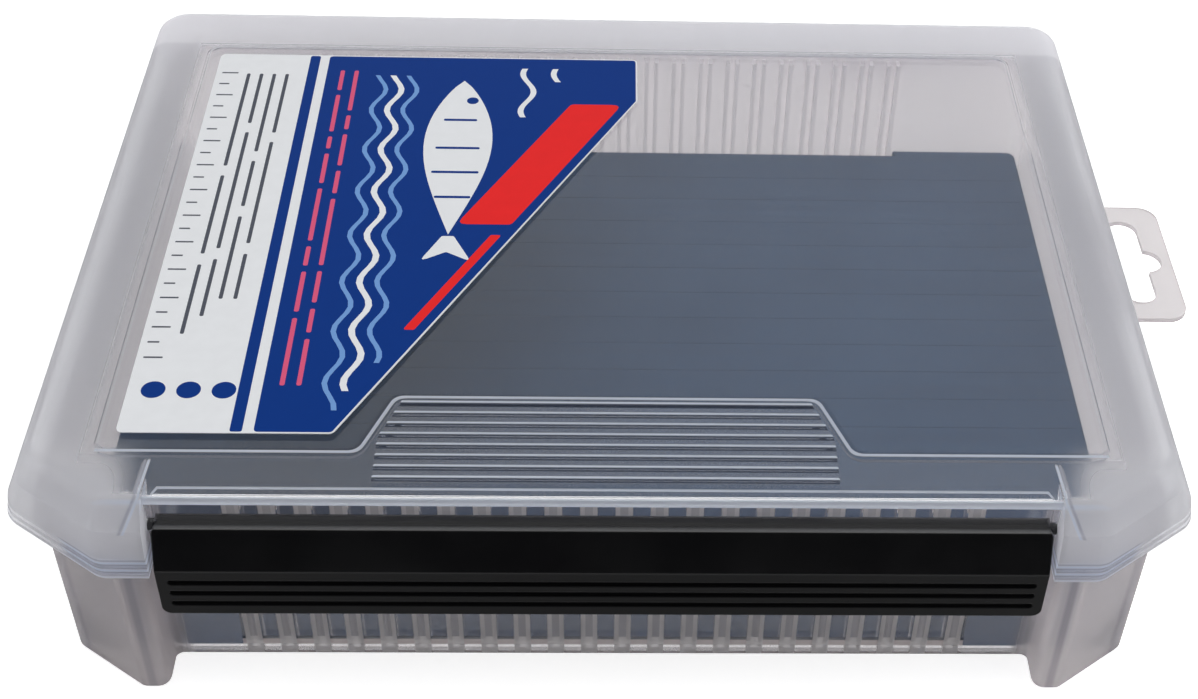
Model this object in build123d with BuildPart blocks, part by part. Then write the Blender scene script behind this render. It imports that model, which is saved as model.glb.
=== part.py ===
"""Slit foam tackle box: a tray, a hinged lid, a full-width latch, a slit foam mat and a printed label.

Millimetres. X runs to the right, Y to the back, Z up. The origin is on the table, midway between the
sides of the case and midway between the front lip and the back lip of the lid.
"""

import os
from math import cos, radians, sin, tan

from build123d import *

# Overall size
case_width = 255.0
case_depth = 190.0
case_height = 60.0

# Lid: a top plate with a skirt that is drawn in at the lip's foot, lip's top, bend and top plane
lid_top_thickness = 1.7
lid_wall = 1.6
skirt_height = 19.5
lip_height = 6.0
skirt_break_drop = 6.1
side_insets = (0, 1.5, 4.5, 7.0)
front_insets = (0, 0, 0.9, 5.2)
back_insets = (0, 0, 1.5, 3.3)
front_flat_width = 10.0
corner_angle = 36.0
lid_back_radius = 8.0
lid_corner_radius = 8.0
lid_flat_radius = 5.0
top_round = 5.0

# Lid: the lip's two grooves and the bay for the latch
lip_groove_width = 1.0
lip_groove_depth = 0.45
lip_groove_pitch = 2.2
bay_half_width = 93.9
bay_front = 5.3
bay_cheek = 1.5
cheek_gap = 1.4
front_lip_thickness = 1.5
front_lip_height = 2.6
front_step_margin = 3.1
front_step_width = 2.3
front_step_slant = 1.2
front_step_depth = 0.35

# Lid: recessed panel, thumb island and grip ribs
panel_side_margin = 22.0
panel_front_margin = 13.2
panel_back_margin = 20.7
panel_depth = 0.8
panel_radius = 3.0
island_half_top = 45.4
island_half_foot = 51.8
island_length = 16.6
grip_rib_count = 8
grip_rib_margin = 5.2
grip_rib_pitch = 3.17
grip_rib_shortest = 44.0
grip_rib_growth = 1.2
grip_rib_longest = 48.0
grip_rib_width = 1.1
grip_rib_height = 0.4
grip_rib_chamfer = 0.3

# Tray: walls that lean out towards the rim
tray_wall = 1.8
floor_thickness = 1.8
rim_drop = 7.9
rim_side_inset = 8.4
rim_back_inset = 4.45
side_draft = 0.6
back_draft = 0.2
recess_draft = 0.6
pillar_draft = 0.5
recess_setback = 7.1
pillar_inset = 3.0
pillar_side_gap = 0.6
pillar_flat_inset = 2.0
tray_back_radius = 5.0
tray_corner_radius = 4.0
pillar_radius = 2.8
recess_radius = 1.5
foot_round = 1.0

# Tray: pairs of ribs that hold loose dividers, and a gusset at each end of the front wall
rib_pair_count = 22
rib_pair_pitch = 7.46
rib_thickness = 1.1
divider_slot = 1.5
rib_reach = 2.2
rib_sink = 0.4
rib_top_drop = 3.0
front_gusset_reach = 4.2
front_gusset_height = 27.0

# Tray: hang tab on the right side
tab_thickness = 1.2
tab_drop = 0.4
tab_overhang = 14.1
tab_width = 44.0
tab_centre = 12.0
tab_radius = 5.0
hang_slot_length = 32.0
hang_slot_width = 8.0
hang_slot_margin = 8.2
hang_bump_radius = 4.25
hang_bump_height = 3.8

# Hinge: the lid's knuckles turn on their own stub pins between the tray's ears
hinge_spacing = 144.0
hinge_rise = 4.0
knuckle_length = 14.0
knuckle_radius = 2.05
knuckle_gap = 0.3
ear_thickness = 3.2
ear_side_gap = 0.25
hinge_pin_radius = 1.25
hinge_pin_clearance = 0.06
hinge_pin_end_gap = 0.2
hinge_stop_angle = 110.0
notch_height = 2.9
stop_clearance = 0.1
heel_start = 0.7
gusset_depth = 8.5
back_cut_slope = 6.0

# Latch: a plate that hangs from the lid and snaps under the tray's ledge
latch_side_gap = 1.0
latch_plate = 2.0
latch_pivot_back = 1.5
latch_pivot_drop = 10.0
latch_knuckle_radius = 2.2
latch_pin_radius = 1.3
latch_pin_clearance = 0.06
latch_pin_end_gap = 0.2
latch_shoulder = (2.7, 1.3)
latch_belly = (6.1, -7.8)
latch_foot = (6.0, -21.0)
latch_corner_radius = 2.0
hook_drop = 15.0
hook_height = 2.4
grip_groove_count = 3
grip_groove_first = 11.3
grip_groove_pitch = 3.2
grip_groove_width = 1.5
grip_groove_depth = 0.7
grip_groove_margin = 2.2

# Ledge on the tray's front wall
ledge_end_margin = 4.9
ledge_reach = 5.7
ledge_thickness = 1.6
ledge_gap = 0.4
hook_gap = 0.2

# Foam mat
foam_thickness = 15.0
foam_gap = 0.35
foam_notch_gap = 1.0
foam_radius = 4.0
foam_back_radius = 2.8
slit_count = 15
slit_pitch = 10.0
slit_width = 0.6
slit_depth = 12.0
slit_margin = 5.0

# Label: a printed film in the lid's panel
label_thickness = 0.2
label_side_gap = 3.0
label_back_gap = 3.3
label_front_gap = 5.5
label_top_width = 109.4
label_foot_width = 45.0
label_step = 19.0
label_radius = 1.5

# Heights and faces that follow from the sizes above
half_width = case_width / 2
half_depth = case_depth / 2
top_plane = case_height - grip_rib_height
under_top = top_plane - lid_top_thickness
lip_bottom = case_height - skirt_height
lip_top = lip_bottom + lip_height
skirt_break = top_plane - skirt_break_drop
panel_plane = top_plane - panel_depth
under_panel = panel_plane - lid_top_thickness
rim_height = under_top - rim_drop
bay_face = -half_depth + bay_front
pivot_y = bay_face + latch_pivot_back
pivot_z = top_plane - latch_pivot_drop
tray_rim_half = half_width - rim_side_inset
tray_rim_back = half_depth - rim_back_inset
recess_rim = bay_face + recess_setback
hinge_y = tray_rim_back + knuckle_gap + knuckle_radius
hinge_height = lip_bottom + hinge_rise
lip_flat_half = bay_half_width + front_flat_width
pillar_half_inner = bay_half_width + bay_cheek + pillar_side_gap
pillar_flat_half = lip_flat_half - pillar_flat_inset
latch_half_width = bay_half_width - latch_side_gap
ledge_half_width = latch_half_width - ledge_end_margin
panel_half_width = half_width - panel_side_margin
panel_front = half_depth - bay_front - panel_front_margin
panel_back = half_depth - panel_back_margin


def both_sides(right_points):
    """The right half's corners from back to front, then their mirror images from front to back."""
    return right_points + [(-x, y) for x, y in reversed(right_points)]


def lid_outline(side_inset, front_inset, back_inset):
    """The lid's six-cornered outline, drawn in on its sides, front and back; the corner flats stay parallel."""
    flat_x = lip_flat_half - front_inset * tan(radians(corner_angle / 2))
    front_y = front_inset - half_depth
    side_x = half_width - side_inset
    corner_y = front_y + (side_x - flat_x) * tan(radians(corner_angle))
    corners = [(side_x, half_depth - back_inset), (side_x, corner_y), (flat_x, front_y)]
    radii = [lid_back_radius, lid_corner_radius, lid_flat_radius]
    with BuildSketch() as outline:
        with BuildLine():
            FilletPolyline(*both_sides(corners), radius=radii + radii[::-1], close=True)
        make_face()
    return outline.sketch


def lid_levels(sides, front, back):
    """The lid's outlines from foot to top, drawn in further by these amounts, joined by one loft."""
    heights = (lip_bottom, lip_top, skirt_break, top_plane)
    with BuildPart() as levels:
        for height, *insets in zip(heights, side_insets, front_insets, back_insets):
            with BuildSketch(Plane.XY.offset(height)):
                add(lid_outline(insets[0] + sides, insets[1] + front, insets[2] + back))
        loft(ruled=True)
    return levels.part


def tray_outline(side_x, back_y, pillar_y, recess_y, flat_x, inset):
    """The tray's outline: two hollow pillars stand forward on both sides of the latch's recess."""
    inner_x = pillar_half_inner + inset
    corner_y = pillar_y + (side_x - flat_x) * tan(radians(corner_angle))
    corners = [
        (side_x, back_y),
        (side_x, corner_y),
        (flat_x, pillar_y),
        (inner_x, pillar_y),
        (inner_x, recess_y),
    ]
    outer_radii = [tray_back_radius, tray_corner_radius, pillar_radius, pillar_radius]
    radii = [radius - inset for radius in outer_radii] + [recess_radius + inset]
    with BuildSketch() as outline:
        with BuildLine():
            FilletPolyline(*both_sides(corners), radius=radii + radii[::-1], close=True)
        make_face()
    return outline.sketch


def tray_section(height, inset=0.0):
    """The tray's outline at a height: every wall leans out by its own draft."""
    share = 1 - height / rim_height
    return tray_outline(
        tray_rim_half - side_draft * share - inset,
        tray_rim_back - back_draft * share - inset,
        -half_depth + pillar_inset + pillar_draft * share + inset,
        recess_rim + recess_draft * share + inset,
        pillar_flat_half + pillar_draft * (1 - share) - inset * tan(radians(corner_angle / 2)),
        inset,
    )


def hinge_ear_profile():
    """A tray ear seen from the side: a ring round the pin, a gusset and the heel that stops the lid."""
    stop = radians(hinge_stop_angle)
    reach = notch_height - stop_clearance
    across = Vector(sin(stop), cos(stop))
    along = Vector(cos(stop), -sin(stop))
    heel_near = across * reach + along * heel_start
    heel_far = across * reach + along * (lid_wall + 2 * heel_start)
    wall_y = -(hinge_y - tray_rim_back) - tray_wall / 2
    corners = [
        (wall_y, knuckle_radius),
        (0, knuckle_radius),
        (0, 0),
        (heel_near.X, heel_near.Y),
        (heel_far.X, heel_far.Y),
        (wall_y + tray_wall / 2, -gusset_depth),
        (wall_y, -gusset_depth),
    ]
    return [(hinge_y + y, hinge_height + z) for y, z in corners]


hinge_centres = [-hinge_spacing / 2, hinge_spacing / 2]
ear_offset = knuckle_length / 2 + ear_side_gap + ear_thickness / 2
ear_centres = [x + side * ear_offset for x in hinge_centres for side in (-1, 1)]

# Tray: walls, floor and pillars
with BuildPart() as tray:
    foot_bevel = foot_round * (1 - cos(radians(45)))
    for height, inset in ((0, foot_round), (foot_bevel, foot_bevel), (foot_round, 0), (rim_height, 0)):
        with BuildSketch(Plane.XY.offset(height)):
            add(tray_section(height, inset))
    loft(ruled=True)
    for height in (floor_thickness, under_top):
        with BuildSketch(Plane.XY.offset(height)):
            add(tray_section(height))
            offset(amount=-tray_wall)
    loft(ruled=True, mode=Mode.SUBTRACT)

    # Divider ribs in pairs, inside the front wall and the back wall
    rib_offset = (divider_slot + rib_thickness) / 2
    rib_top = rim_height - rib_top_drop
    rib_depth = rib_reach + tray_wall / 2 + rib_sink
    front_rib_end = recess_rim + recess_draft + tray_wall + rib_reach
    back_rib_end = tray_rim_back - back_draft - tray_wall - rib_reach
    rib_lines = [front_rib_end - rib_depth / 2, back_rib_end + rib_depth / 2]
    with BuildSketch(Plane.XY.offset(floor_thickness / 2)):
        for rib_y in rib_lines:
            with Locations((-rib_offset, rib_y), (rib_offset, rib_y)):
                with GridLocations(rib_pair_pitch, 1, rib_pair_count, 1):
                    Rectangle(rib_thickness, rib_depth)
    extrude(amount=rib_top - floor_thickness / 2)

    # Gussets behind the front wall, in line with the pillars' inner walls
    gusset_root = recess_rim + recess_draft + tray_wall / 2
    gusset_tip = recess_rim + tray_wall + front_gusset_reach
    for side in (-1, 1):
        with BuildSketch(Plane.YZ.offset(side * (pillar_half_inner + tray_wall / 2))):
            with BuildLine():
                Polyline(
                    (gusset_root, rim_height),
                    (gusset_tip, rim_height),
                    (gusset_root, rim_height - front_gusset_height),
                    close=True,
                )
            make_face()
        extrude(amount=rib_thickness / 2, both=True)

    # Ledge that the latch snaps under
    ledge_z = pivot_z - hook_drop + hook_height / 2 + ledge_gap
    ledge_root = recess_rim + recess_draft / 2 + tray_wall / 2
    ledge_tip = recess_rim - ledge_reach
    with BuildSketch(Plane.XY.offset(ledge_z)):
        with Locations((0, (ledge_root + ledge_tip) / 2)):
            Rectangle(2 * ledge_half_width, ledge_root - ledge_tip)
    extrude(amount=ledge_thickness)

    # Hinge ears on the back wall
    for ear_x in ear_centres:
        with BuildSketch(Plane.YZ.offset(ear_x)):
            with BuildLine():
                Polyline(*hinge_ear_profile(), close=True)
            make_face()
            with Locations((hinge_y, hinge_height)):
                Circle(knuckle_radius)
                Circle(hinge_pin_radius + hinge_pin_clearance, mode=Mode.SUBTRACT)
        extrude(amount=ear_thickness / 2, both=True)

    # Hang tab with its slot
    tab_root = tray_rim_half - side_draft - tray_wall / 2
    tab_reach = half_width + tab_overhang
    slot_x = tray_rim_half + hang_slot_margin + hang_slot_width / 2
    with BuildSketch(Plane.XY.offset(lip_bottom - tab_drop - tab_thickness)):
        with Locations(((tab_root + tab_reach) / 2, tab_centre)):
            Rectangle(tab_reach - tab_root, tab_width)
        fillet(vertices().group_by(Axis.X)[-1], radius=tab_radius)
        with Locations((slot_x, tab_centre)):
            SlotOverall(hang_slot_length, hang_slot_width, rotation=90, mode=Mode.SUBTRACT)
        with Locations((slot_x + hang_slot_width / 2 + hang_bump_height - hang_bump_radius, tab_centre)):
            Circle(hang_bump_radius, mode=Mode.SUBTRACT)
    extrude(amount=tab_thickness)

# The lid's outer form, before it is hollowed
with BuildPart() as lid_form:
    add(lid_levels(0, 0, 0))
    fillet(lid_form.faces().sort_by(Axis.Z)[-1].edges(), radius=top_round)

# The hollow inside the lid
slope_wall = lid_wall / cos(radians(corner_angle))
with BuildPart() as lid_hollow:
    add(lid_levels(slope_wall, slope_wall, lid_wall))
    split(bisect_by=Plane.XY.offset(under_top), keep=Keep.BOTTOM)

# The bay's cheeks carry the latch's pins
cheek_back = recess_rim - cheek_gap
with BuildPart() as cheeks:
    with BuildSketch(Plane.XY.offset(lip_bottom)):
        for side in (-1, 1):
            with Locations((side * (bay_half_width + bay_cheek / 2), (cheek_back - half_depth) / 2)):
                Rectangle(bay_cheek, cheek_back + half_depth)
    extrude(amount=under_top - lip_bottom + lid_top_thickness / 2)
    add(lid_form.part, mode=Mode.INTERSECT)

with BuildPart() as lid:
    add(lid_form.part)
    add(lid_hollow.part, mode=Mode.SUBTRACT)

    # Latch bay: the skirt is open between the cheeks, below a short front lip
    with BuildSketch(Plane.XY.offset(lip_bottom - 1)):
        with Locations((0, bay_face - half_depth)):
            Rectangle(2 * bay_half_width, 2 * half_depth)
    extrude(amount=skirt_height + 2, mode=Mode.SUBTRACT)
    with BuildSketch(Plane.XY.offset(top_plane - front_lip_height)):
        with Locations((0, bay_face + front_lip_thickness / 2)):
            Rectangle(2 * bay_half_width + bay_cheek, front_lip_thickness)
    extrude(amount=front_lip_height - lid_top_thickness / 2)
    add(cheeks.part)
    with BuildSketch(Plane.YZ):
        with Locations((pivot_y, pivot_z)):
            Circle(latch_pin_radius + latch_pin_clearance)
    extrude(amount=bay_half_width + 2 * bay_cheek, both=True, mode=Mode.SUBTRACT)

    # Step along the front edge
    step_half = bay_half_width - front_step_margin
    step_corners = [(step_half, bay_face + front_step_width), (step_half + front_step_slant, bay_face)]
    with BuildSketch(Plane.XY.offset(top_plane - front_step_depth)):
        with BuildLine():
            Polyline(*both_sides(step_corners), close=True)
        make_face()
    extrude(amount=front_step_depth, mode=Mode.SUBTRACT)

    # Recessed panel, with the island left standing for the thumb
    island_top = panel_front - island_length
    panel_corners = [
        (panel_half_width, panel_back),
        (panel_half_width, -panel_front),
        (island_half_foot, -panel_front),
        (island_half_top, -island_top),
    ]
    with BuildSketch(Plane.XY.offset(panel_plane)) as panel:
        with BuildLine():
            FilletPolyline(*both_sides(panel_corners), radius=panel_radius, close=True)
        make_face()
    extrude(amount=panel_depth, mode=Mode.SUBTRACT)
    with BuildSketch(Plane.XY.offset(under_panel)):
        with BuildLine():
            FilletPolyline(*both_sides(panel_corners), radius=panel_radius, close=True)
        make_face()
        offset(amount=lid_wall / 2)
    extrude(amount=panel_depth + lid_top_thickness / 2)

    # Grip ribs, which grow longer towards the front
    with BuildSketch(Plane.XY.offset(top_plane - grip_rib_height / 2)):
        for index in range(grip_rib_count):
            rib_half = min(grip_rib_shortest + index * grip_rib_growth, grip_rib_longest)
            rib_row = bay_face + grip_rib_margin + (grip_rib_count - 1 - index) * grip_rib_pitch
            with Locations((0, rib_row)):
                Rectangle(2 * rib_half, grip_rib_width)
        chamfer(vertices(), length=grip_rib_chamfer)
    extrude(amount=1.5 * grip_rib_height)

    # Grooves round the lip's front corners
    for index in range(2):
        groove_rise = (index + 0.5) * lip_groove_pitch
        groove_z = lip_bottom + groove_rise
        groove_side_inset = lip_groove_depth + side_insets[1] * groove_rise / lip_height
        with BuildSketch(Plane.XY.offset(groove_z)):
            with Locations((0, -half_depth)):
                Rectangle(2 * case_width, half_depth / 2)
            add(lid_outline(groove_side_inset, lip_groove_depth, 0), mode=Mode.SUBTRACT)
        extrude(amount=lip_groove_width, mode=Mode.SUBTRACT)

    # The skirt rises at the back, level with the hinge pins
    cut_top = hinge_height - 0.1
    cut_front = tray_rim_back - back_cut_slope
    with BuildSketch(Plane.YZ):
        with BuildLine():
            Polyline(
                (cut_front - back_cut_slope, lip_bottom - 1),
                (cut_front, cut_top),
                (half_depth + 1, cut_top),
                (half_depth + 1, lip_bottom - 1),
                close=True,
            )
        make_face()
    extrude(amount=case_width, both=True, mode=Mode.SUBTRACT)

    # Notches that let the tray's ears in
    for ear_x in ear_centres:
        with BuildSketch(Plane.XY.offset(lip_bottom)):
            with Locations((ear_x, half_depth)):
                Rectangle(ear_thickness + 2 * ear_side_gap, 2 * (half_depth - tray_rim_back))
        extrude(amount=hinge_height + notch_height - lip_bottom, mode=Mode.SUBTRACT)

    # Knuckles and their stub pins
    for centre_x in hinge_centres:
        with BuildSketch(Plane.YZ.offset(centre_x)):
            with Locations((hinge_y, hinge_height)):
                Circle(knuckle_radius)
        extrude(amount=knuckle_length / 2, both=True)
        with BuildSketch(Plane.YZ.offset(centre_x)):
            with Locations((hinge_y, hinge_height)):
                Circle(hinge_pin_radius)
        pin_reach = knuckle_length / 2 + ear_side_gap + ear_thickness - hinge_pin_end_gap
        extrude(amount=pin_reach, both=True)


def from_pivot(points):
    """Points given forward of and above the latch's pivot, as places in the YZ plane."""
    return [(pivot_y - forward, pivot_z + up) for forward, up in points]


# Latch: plate, knuckle, hook and grip grooves
with BuildPart() as latch:
    shoulder, belly, foot = latch_shoulder, latch_belly, latch_foot
    plate_corners = [
        (0, latch_knuckle_radius),
        shoulder,
        belly,
        foot,
        (foot[0] - latch_plate, foot[1]),
        (belly[0] - latch_plate, belly[1]),
        (latch_knuckle_radius / 2, 0),
        (0, 0),
    ]
    with BuildSketch(Plane.YZ):
        with BuildLine():
            Polyline(*from_pivot(plate_corners), close=True)
        make_face()
        with Locations((pivot_y, pivot_z)):
            Circle(latch_knuckle_radius)
    extrude(amount=latch_half_width, both=True)

    hook_tip = pivot_y - (recess_rim - ledge_reach - hook_gap)
    hook_root = belly[0] - latch_plate / 2
    hook_top = hook_height / 2 - hook_drop
    with BuildSketch(Plane.YZ):
        with BuildLine():
            Polyline(
                *from_pivot([
                    (hook_root, hook_top),
                    (hook_tip, hook_top),
                    (hook_tip, hook_top - hook_height / 2),
                    (hook_root, hook_top - 1.5 * hook_height),
                ]),
                close=True,
            )
        make_face()
    extrude(amount=ledge_half_width, both=True)

    # Rounded front outline
    with BuildSketch(Plane.XZ):
        with Locations((0, pivot_z + (latch_knuckle_radius + foot[1]) / 2)):
            RectangleRounded(2 * latch_half_width, latch_knuckle_radius - foot[1], latch_corner_radius)
    extrude(amount=case_depth, both=True, mode=Mode.INTERSECT)

    for index in range(grip_groove_count):
        groove_up = -(grip_groove_first + index * grip_groove_pitch)
        with BuildSketch(Plane.XZ.offset(belly[0] - pivot_y + 1)):
            with Locations((0, pivot_z + groove_up)):
                SlotOverall(2 * (latch_half_width - grip_groove_margin), grip_groove_width)
        extrude(amount=-1 - grip_groove_depth, mode=Mode.SUBTRACT)

    with BuildSketch(Plane.YZ):
        with Locations((pivot_y, pivot_z)):
            Circle(latch_pin_radius)
    extrude(amount=bay_half_width + bay_cheek - latch_pin_end_gap, both=True)

# Foam mat with its slits
foam_half = tray_rim_half - side_draft - tray_wall - foam_gap
foam_front = recess_rim + recess_draft + tray_wall + foam_gap
foam_back = tray_rim_back - back_draft - tray_wall - foam_gap
last_pair = (rib_pair_count - 1) * rib_pair_pitch / 2
foam_rib_half = last_pair + divider_slot / 2 + rib_thickness + foam_notch_gap
foam_rib_front = front_rib_end + foam_gap
foam_rib_back = back_rib_end - foam_gap
foam_corners = [
    (foam_rib_half, foam_rib_back),
    (foam_rib_half, foam_back),
    (foam_half, foam_back),
    (foam_half, foam_front),
    (foam_rib_half, foam_front),
    (foam_rib_half, foam_rib_front),
]
foam_radii = [0, 0, foam_back_radius, foam_radius, 0, 0]
with BuildPart() as foam_mat:
    with BuildSketch(Plane.XY.offset(floor_thickness + foam_gap)):
        with BuildLine():
            FilletPolyline(*both_sides(foam_corners), radius=foam_radii + foam_radii[::-1], close=True)
        make_face()
    extrude(amount=foam_thickness)
    with BuildSketch(Plane.XY.offset(floor_thickness + foam_gap + foam_thickness)):
        with Locations((0, (foam_rib_front + foam_rib_back) / 2)):
            with GridLocations(1, slit_pitch, 1, slit_count):
                Rectangle(2 * (foam_half - slit_margin), slit_width)
    extrude(amount=-slit_depth, mode=Mode.SUBTRACT)

# Label: a film with a slanted edge, stuck in the panel
label_left = label_side_gap - panel_half_width
label_back = panel_back - label_back_gap
label_front = label_front_gap - panel_front
label_right = label_left + label_top_width
with BuildPart() as label_film:
    with BuildSketch(Plane.XY.offset(panel_plane)):
        with BuildLine():
            Polyline(
                (label_left, label_back),
                (label_right, label_back),
                (label_right, label_back - label_step),
                (label_left + label_foot_width, label_front),
                (label_left, label_front),
                close=True,
            )
        make_face()
        fillet(vertices(), radius=label_radius)
    extrude(amount=label_thickness)

pieces = {"tray": tray, "lid": lid, "latch": latch, "foam_mat": foam_mat, "label_film": label_film}
os.makedirs("parts", exist_ok=True)
for name, piece in pieces.items():
    piece.part.label = name
    export_step(piece.part, f"parts/{name}.step")
    print(name, round(piece.part.volume), len(piece.part.solids()), piece.part.is_valid)
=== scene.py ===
# %% [markdown]
# # Slit foam tackle box
#
# The real object is a flat case of frosted polypropylene, 255 mm wide, with a clear panel in its lid, one wide
# black latch, a mat of slit foam and a printed film under the fingers of whoever picks it up in a shop.
#
# The rigid parts come from CAD with their joints, so this file doesn't model them again. It gives each part the
# finish that the real one has, makes the foam and the print as meshes, and sets up the studio.

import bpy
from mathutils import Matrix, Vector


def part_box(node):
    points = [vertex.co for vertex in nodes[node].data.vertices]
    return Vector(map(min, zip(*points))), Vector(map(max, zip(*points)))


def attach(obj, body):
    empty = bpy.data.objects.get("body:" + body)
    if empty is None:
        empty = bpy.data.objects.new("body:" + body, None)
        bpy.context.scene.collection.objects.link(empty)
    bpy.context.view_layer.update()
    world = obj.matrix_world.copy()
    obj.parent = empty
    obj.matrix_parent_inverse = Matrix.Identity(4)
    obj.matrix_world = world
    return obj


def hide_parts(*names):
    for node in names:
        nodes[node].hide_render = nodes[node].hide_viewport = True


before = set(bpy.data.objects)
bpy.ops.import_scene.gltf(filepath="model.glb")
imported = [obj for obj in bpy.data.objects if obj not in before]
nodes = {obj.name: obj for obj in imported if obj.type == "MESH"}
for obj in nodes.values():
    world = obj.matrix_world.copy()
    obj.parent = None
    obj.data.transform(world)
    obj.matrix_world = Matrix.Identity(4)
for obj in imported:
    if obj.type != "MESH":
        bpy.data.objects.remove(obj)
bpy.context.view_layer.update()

import math

import bmesh
import bpy
from mathutils import Matrix, Vector

mm = 0.001
print("CAD nodes:", ", ".join(sorted(nodes)))

# %% [markdown]
# ## Small tools for node materials
#
# Every finish here is a tree of nodes. Clicking them together is fine for one material, but a case like this
# needs several with dozens of steps each. So a node's number is wrapped in a small class whose signs are Math
# nodes: in the recipes below, `a * b` adds a Multiply node and `a < b` adds a Less Than node, and a whole tree
# reads like a few lines of arithmetic.

# %% Node helpers
def add_node(tree, kind, inputs=None, **settings):
    """A node with its options set and its inputs filled with values or linked to other nodes' outputs."""
    node = tree.nodes.new(kind)
    for name, value in settings.items():
        setattr(node, name, value)
    for key, value in (inputs or {}).items():
        if isinstance(value, Value):
            value = value.socket
        if isinstance(value, bpy.types.NodeSocket):
            tree.links.new(value, node.inputs[key])
        else:
            node.inputs[key].default_value = value
    return node


def calc(operation, *values):
    """One Math node, in the tree of the values that go into it."""
    tree = next(value.tree for value in values if isinstance(value, Value))
    return Value(add_node(tree, "ShaderNodeMath", dict(enumerate(values)), operation=operation).outputs[0])


class Value:
    """A number that nodes work out. Each sign between it and another number adds one Math node."""

    def __init__(self, socket):
        self.socket = socket
        self.tree = socket.id_data

    def __add__(self, other):
        return calc("ADD", self, other)

    def __sub__(self, other):
        return calc("SUBTRACT", self, other)

    def __rsub__(self, other):
        return calc("SUBTRACT", other, self)

    def __mul__(self, other):
        return calc("MULTIPLY", self, other)

    def __truediv__(self, other):
        return calc("DIVIDE", self, other)

    def __lt__(self, other):
        return calc("LESS_THAN", self, other)

    def __gt__(self, other):
        return calc("GREATER_THAN", self, other)

    def __abs__(self):
        return calc("ABSOLUTE", self)

    __radd__ = __add__
    __rmul__ = __mul__


print("a node's number can be used with + - * / < > and abs()")

# %% [markdown]
# Two kinds of steps come back in every material. One starts it with an empty tree, and one finds out where on
# the part the point lies that is being shaded. That place is given in millimetres, like the sizes of the case.

# %% Starting a material
def new_material(name):
    """An empty node material, with the output node that waits for a shader."""
    material = bpy.data.materials.new(name)
    material.use_nodes = True
    tree = material.node_tree
    tree.nodes.clear()
    return material, tree, add_node(tree, "ShaderNodeOutputMaterial")


def part_place(tree):
    """The surface point in the part's own frame: as a vector in metres, then x, y and z in millimetres."""
    place = add_node(tree, "ShaderNodeTexCoord").outputs["Object"]
    axes = add_node(tree, "ShaderNodeSeparateXYZ", {0: place}).outputs
    return [place] + [Value(axis) / mm for axis in axes]


def shader(tree, kind, inputs=None):
    """The shader that a node makes."""
    return add_node(tree, kind, inputs).outputs[0]


def mix(tree, share, first, second):
    """The first shader where the share is 0, the second where it is 1."""
    return shader(tree, "ShaderNodeMixShader", {0: share, 1: first, 2: second})


def dress(node, material):
    """Gives a CAD node its finish."""
    mesh = nodes[node].data
    mesh.materials.clear()
    mesh.materials.append(material)
    print(node, "wears", material.name)


print("materials count in millimetres; one is", mm, "metres in the scene")

# %% [markdown]
# A zone is a mask: 1 inside, 0 outside, and a soft edge between them. A product of masks is the place where all
# of them hold, and the highest of several is the place where any of them does.

# %% Masks
def soft_step(value, low, high, start=0.0, end=1.0):
    """Goes smoothly from start to end while value goes from low to high."""
    inputs = {"Value": value, "From Min": low, "From Max": high, "To Min": start, "To Max": end}
    step = add_node(value.tree, "ShaderNodeMapRange", inputs, interpolation_type="SMOOTHSTEP")
    return Value(step.outputs[0])


def soft_drop(value, low, high):
    """Goes smoothly from 1 to 0 while value goes from low to high."""
    return soft_step(value, low, high, 1.0, 0.0)


def within(value, low, high, edge):
    """1 where the value lies between low and high, with soft edges."""
    return soft_step(value, low - edge, low + edge) * soft_drop(value, high - edge, high + edge)


def without(mask, share=1.0):
    """What is left outside a mask that takes this share away."""
    return 1 - mask * share


def highest(first, *others):
    """The highest of several values."""
    for other in others:
        first = calc("MAXIMUM", first, other)
    return first


def blend_colours(factor, first, second):
    """The first colour where the factor is 0, the second where it is 1."""
    inputs = {"Factor": factor, "A": first, "B": second}
    return add_node(factor.tree, "ShaderNodeMix", inputs, data_type="RGBA").outputs["Result"]


def paint_over(colour, *coats):
    """Lays coats over a colour, each given as its zone and its own colour."""
    for zone, coat in coats:
        colour = blend_colours(zone, colour, coat)
    return colour


print("masks and coats of colour are ready")

# %% [markdown]
# ## Frosted polypropylene
#
# Natural polypropylene is neither glass nor milk. Light goes through it, but crystals in the plastic scatter a
# part of it, so what lies behind is seen soft and pale. Subsurface scattering could do this, but on a wall of
# 1.7 mm it is slow and noisy. A mix does it well: a rough glass that lets the view through, and over it a veil,
# half of which shines back and half of which glows with the light from behind.
#
# Glass blocks a lamp's shadow rays, and a case of glass would be dark inside. For shadow rays the plastic is
# therefore simply transparent, with a slight loss.

# %% Frosted plastic shader
shadow_loss = (0.86, 0.86, 0.87, 1)
refraction = 1.49
glow_share = 0.5


def frosted(tree, output, tint, milk, veil, roughness, clear=0.0):
    """Mixes rough glass with a milky veil, lets a clear share straight through, and joins it to the output."""
    glass = shader(tree, "ShaderNodeBsdfPrincipled", {
        "Base Color": tint, "IOR": refraction, "Transmission Weight": 1.0, "Roughness": roughness,
    })
    shine_back = shader(tree, "ShaderNodeBsdfDiffuse", {"Color": milk})
    glow_through = shader(tree, "ShaderNodeBsdfTranslucent", {"Color": milk})
    body = mix(tree, veil, glass, mix(tree, glow_share, shine_back, glow_through))
    body = mix(tree, clear, body, shader(tree, "ShaderNodeBsdfTransparent"))
    lamp_ray = add_node(tree, "ShaderNodeLightPath").outputs["Is Shadow Ray"]
    body = mix(tree, lamp_ray, body, shader(tree, "ShaderNodeBsdfTransparent", {"Color": shadow_loss}))
    tree.links.new(body, output.inputs["Surface"])


print("frosted plastic bends light with an index of", refraction)

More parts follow.
